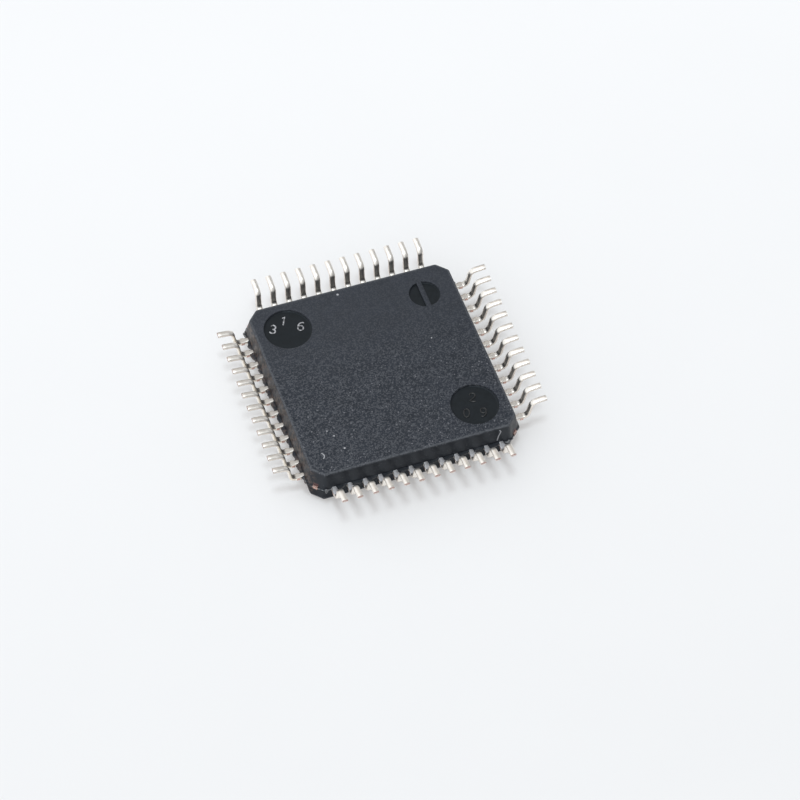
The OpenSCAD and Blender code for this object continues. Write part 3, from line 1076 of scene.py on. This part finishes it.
class FLATPACK_OT_body(bpy.types.Operator):
    """Make the moulded body with its recesses, rib, dimple and flash"""

    bl_idname = "flatpack.body"
    bl_label = "Moulded body"

    def execute(self, context):
        group = settings()
        centre = BODY_HIGH.x - group.marks.recess_inset
        points, faces = body_surface(group.body, group.marks, group.leads.thickness, group.stage.seed)
        place = (centre - group.marks.rib_shift, centre + group.marks.recess_shift)
        rib = rib_surface(group.marks, BODY_HIGH.z, place)
        count = len(points)
        points, faces = join([(points, faces), rib])
        polished = recess_floors(points, faces, count, group.marks.recess_depth)
        finishes = [material("moulding_compound"), material("polished_compound")]
        piece = make_piece("mould_shell", points, faces, finishes, polished)
        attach(piece, "root")
        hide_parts("moulded_body")
        return {"FINISHED"}


class FLATPACK_OT_leads(bpy.types.Operator):
    """Make the formed gull-wing leads"""

    bl_idname = "flatpack.leads"
    bl_label = "Gull-wing leads"

    def execute(self, context):
        group = settings()
        finishes = [material("matte_tin"), material("cut_copper"), material("lead_edge")]
        rng = np.random.default_rng(group.stage.seed)
        stray = rng.uniform(-1, 1, 4 * LEADS_PER_SIDE) * group.leads.stray
        for number in range(4 * LEADS_PER_SIDE):
            row, k = divmod(number, LEADS_PER_SIDE)
            points, faces, finish = lead_surface(group.leads, row, k, stray[number])
            piece = make_piece(f"formed_lead_{number + 1:02d}", points, faces, finishes, finish)
            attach(piece, "root")
            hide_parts(f"lead_{number + 1:02d}")
        return {"FINISHED"}


class FLATPACK_OT_digits(bpy.types.Operator):
    """Make the plain raised digits in the two large recesses"""

    bl_idname = "flatpack.digits"
    bl_label = "Cavity digits"

    def execute(self, context):
        marks = settings().marks
        at = BODY_HIGH.x - marks.recess_inset
        floor = BODY_HIGH.z - marks.recess_depth
        for name, (side_x, side_y, turn, digits) in CAVITY_DIGITS.items():
            parts = []
            for digit, dx, dy in digits:
                middle = np.array([side_x * at + dx * MM, side_y * at + marks.recess_shift + dy * MM])
                for stroke in DIGIT_STROKES[digit]:
                    path = middle + turned(stroke, math.radians(turn)) * marks.digit
                    parts.append(stroke_surface(path, marks.stroke, marks.ridge, floor))
            points, faces = join(parts)
            piece = make_piece(name, points, faces, [material("raised_compound")])
            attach(piece, "root")
        return {"FINISHED"}


class FLATPACK_OT_inside(bpy.types.Operator):
    """Give the lead frame, die, adhesive and bond wires their materials"""

    bl_idname = "flatpack.inside"
    bl_label = "Inner pieces"

    def execute(self, context):
        dress("die_pad", material("cut_copper"))
        dress("die", material("die_silicon"))
        dress("die_attach", material("silver_epoxy"))
        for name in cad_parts:
            if name.startswith("bond_wires"):
                dress(name, material("bond_gold"))
        return {"FINISHED"}


FLOOR_REACH = 600 * MM
LAMP_DIRECTION = (-0.093, -0.155, 1.0)

# Panels of the dome: direction, cosines at which a panel begins and is full, and its strength.
DOME_PANELS = {
    "left": ((-0.9, 0.0, 0.45), 0.12, 0.40, 0.84),
    "back": ((0.2, 0.75, 0.63), 0.95, 0.985, 0.36),
    "right": ((0.8, 0.55, 0.2), 0.78, 0.95, 0.45),
    "above": ((0.1, 0.1, 0.99), 0.875, 0.945, 0.46),
    "front": ((0.0, -1.0, 0.5), 0.0, 0.6, 0.18),
}
COOL = (0.97, 0.985, 1.0, 1)
WARM = (1.0, 0.94, 0.88, 1)


class FLATPACK_OT_stage(bpy.types.Operator):
    """Make the floor, the lamp, the world and the camera"""

    bl_idname = "flatpack.stage"
    bl_label = "Stage"

    def execute(self, context):
        self.floor()
        self.lamp(settings().stage)
        self.world()
        self.camera(settings().stage)
        context.scene.view_settings.view_transform = "Standard"
        return {"FINISHED"}

    def floor(self):
        """A wide pale square at the height that the part lies on."""
        points = FLOOR_REACH * np.array([[-1, -1, 0], [1, -1, 0], [1, 1, 0], [-1, 1, 0]])
        piece = make_piece("floor", points, [np.array([[0, 1, 2, 3]])], [material("pale_card")])

    def lamp(self, stage):
        """One small round lamp, almost overhead."""
        data = bpy.data.lights.new("key_lamp", "AREA")
        data.shape = "DISK"
        data.size = stage.lamp_size
        data.energy = stage.lamp_power
        data.color = (0.90, 0.97, 1.0)
        lamp = add_object("key_lamp", data)
        direction = Vector(LAMP_DIRECTION).normalized()
        lamp.location = direction * stage.lamp_distance
        lamp.rotation_euler = direction.to_track_quat("Z", "Y").to_euler()

    def world(self):
        """A dim dome with five brighter panels, the back one warm, and plain pale to the camera."""
        world = bpy.data.worlds.new("soft_dome")
        bpy.context.scene.world = world
        world.use_nodes = True
        world.node_tree.nodes.clear()
        s = Nodes(world.node_tree)
        ray = s.add("ShaderNodeTexCoord").outputs["Generated"]
        panels = {
            name: s.ramp(s.toward(ray, direction), begin, full, 0.0, strength)
            for name, (direction, begin, full, strength) in DOME_PANELS.items()
        }
        level = s.ramp(s.split(ray)[2], 0.0, 0.9, 0.22, 0.30)
        for panel in panels.values():
            level = s.math("ADD", level, panel)
        tone = s.mix(s.ramp(panels["back"], 0.0, 0.3), COOL, WARM)
        dome = s.add("ShaderNodeBackground", {"Color": tone, "Strength": level})
        plain = s.add("ShaderNodeBackground", {"Color": (0.93, 0.94, 0.955, 1)})
        camera_ray = s.add("ShaderNodeLightPath").outputs["Is Camera Ray"]
        mix = s.add("ShaderNodeMixShader", {0: camera_ray, 1: dome.outputs[0], 2: plain.outputs[0]})
        s.add("ShaderNodeOutputWorld", {"Surface": mix.outputs[0]})

    def camera(self, stage):
        """A long lens on a turn, a rise and a roll around its target."""
        data = bpy.data.cameras.new("camera")
        data.lens = stage.lens
        data.sensor_width = 36
        data.clip_start = 5 * MM
        data.clip_end = 5
        a, e, r = stage.turn, stage.rise, stage.roll
        back = Vector((math.sin(a) * math.cos(e), -math.cos(a) * math.cos(e), math.sin(e)))
        right = Vector((math.cos(a), math.sin(a), 0))
        up = back.cross(right)
        across = right * math.cos(r) + up * math.sin(r)
        above = up * math.cos(r) - right * math.sin(r)
        camera = add_object("camera", data)
        turn = Matrix((across, above, back)).transposed().to_4x4()
        camera.matrix_world = Matrix.Translation(Vector(stage.target) + back * stage.distance) @ turn
        bpy.context.scene.camera = camera


class FLATPACK_PT_panel(bpy.types.Panel):
    """The flat pack's operators"""

    bl_idname = "FLATPACK_PT_panel"
    bl_label = "Flat pack"
    bl_space_type = "VIEW_3D"
    bl_region_type = "UI"
    bl_category = "Flat pack"

    def draw(self, context):
        for operator in OPERATORS:
            self.layout.operator(operator.bl_idname)


class FlatPackSettings(bpy.types.PropertyGroup):
    """All settings of the flat pack."""

    body: PointerProperty(type=BodySizes)
    marks: PointerProperty(type=MarkSizes)
    leads: PointerProperty(type=LeadSizes)
    finishes: PointerProperty(type=Finishes)
    stage: PointerProperty(type=StageSettings)


GROUPS = (BodySizes, MarkSizes, LeadSizes, Finishes, StageSettings, FlatPackSettings)
OPERATORS = (FLATPACK_OT_body, FLATPACK_OT_leads, FLATPACK_OT_digits, FLATPACK_OT_inside, FLATPACK_OT_stage)
CLASSES = GROUPS + OPERATORS + (FLATPACK_PT_panel,)


def register():
    """Register the classes and hang the settings on the scene."""
    for cls in CLASSES:
        bpy.utils.register_class(cls)
    bpy.types.Scene.flat_pack = PointerProperty(type=FlatPackSettings)


def unregister():
    """Take the settings and the classes away again."""
    del bpy.types.Scene.flat_pack
    for cls in reversed(CLASSES):
        bpy.utils.unregister_class(cls)


def main():
    """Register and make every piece."""
    register()
    bpy.ops.flatpack.body()
    bpy.ops.flatpack.leads()
    bpy.ops.flatpack.digits()
    bpy.ops.flatpack.inside()
    bpy.ops.flatpack.stage()


if __name__ == "__main__":
    main()
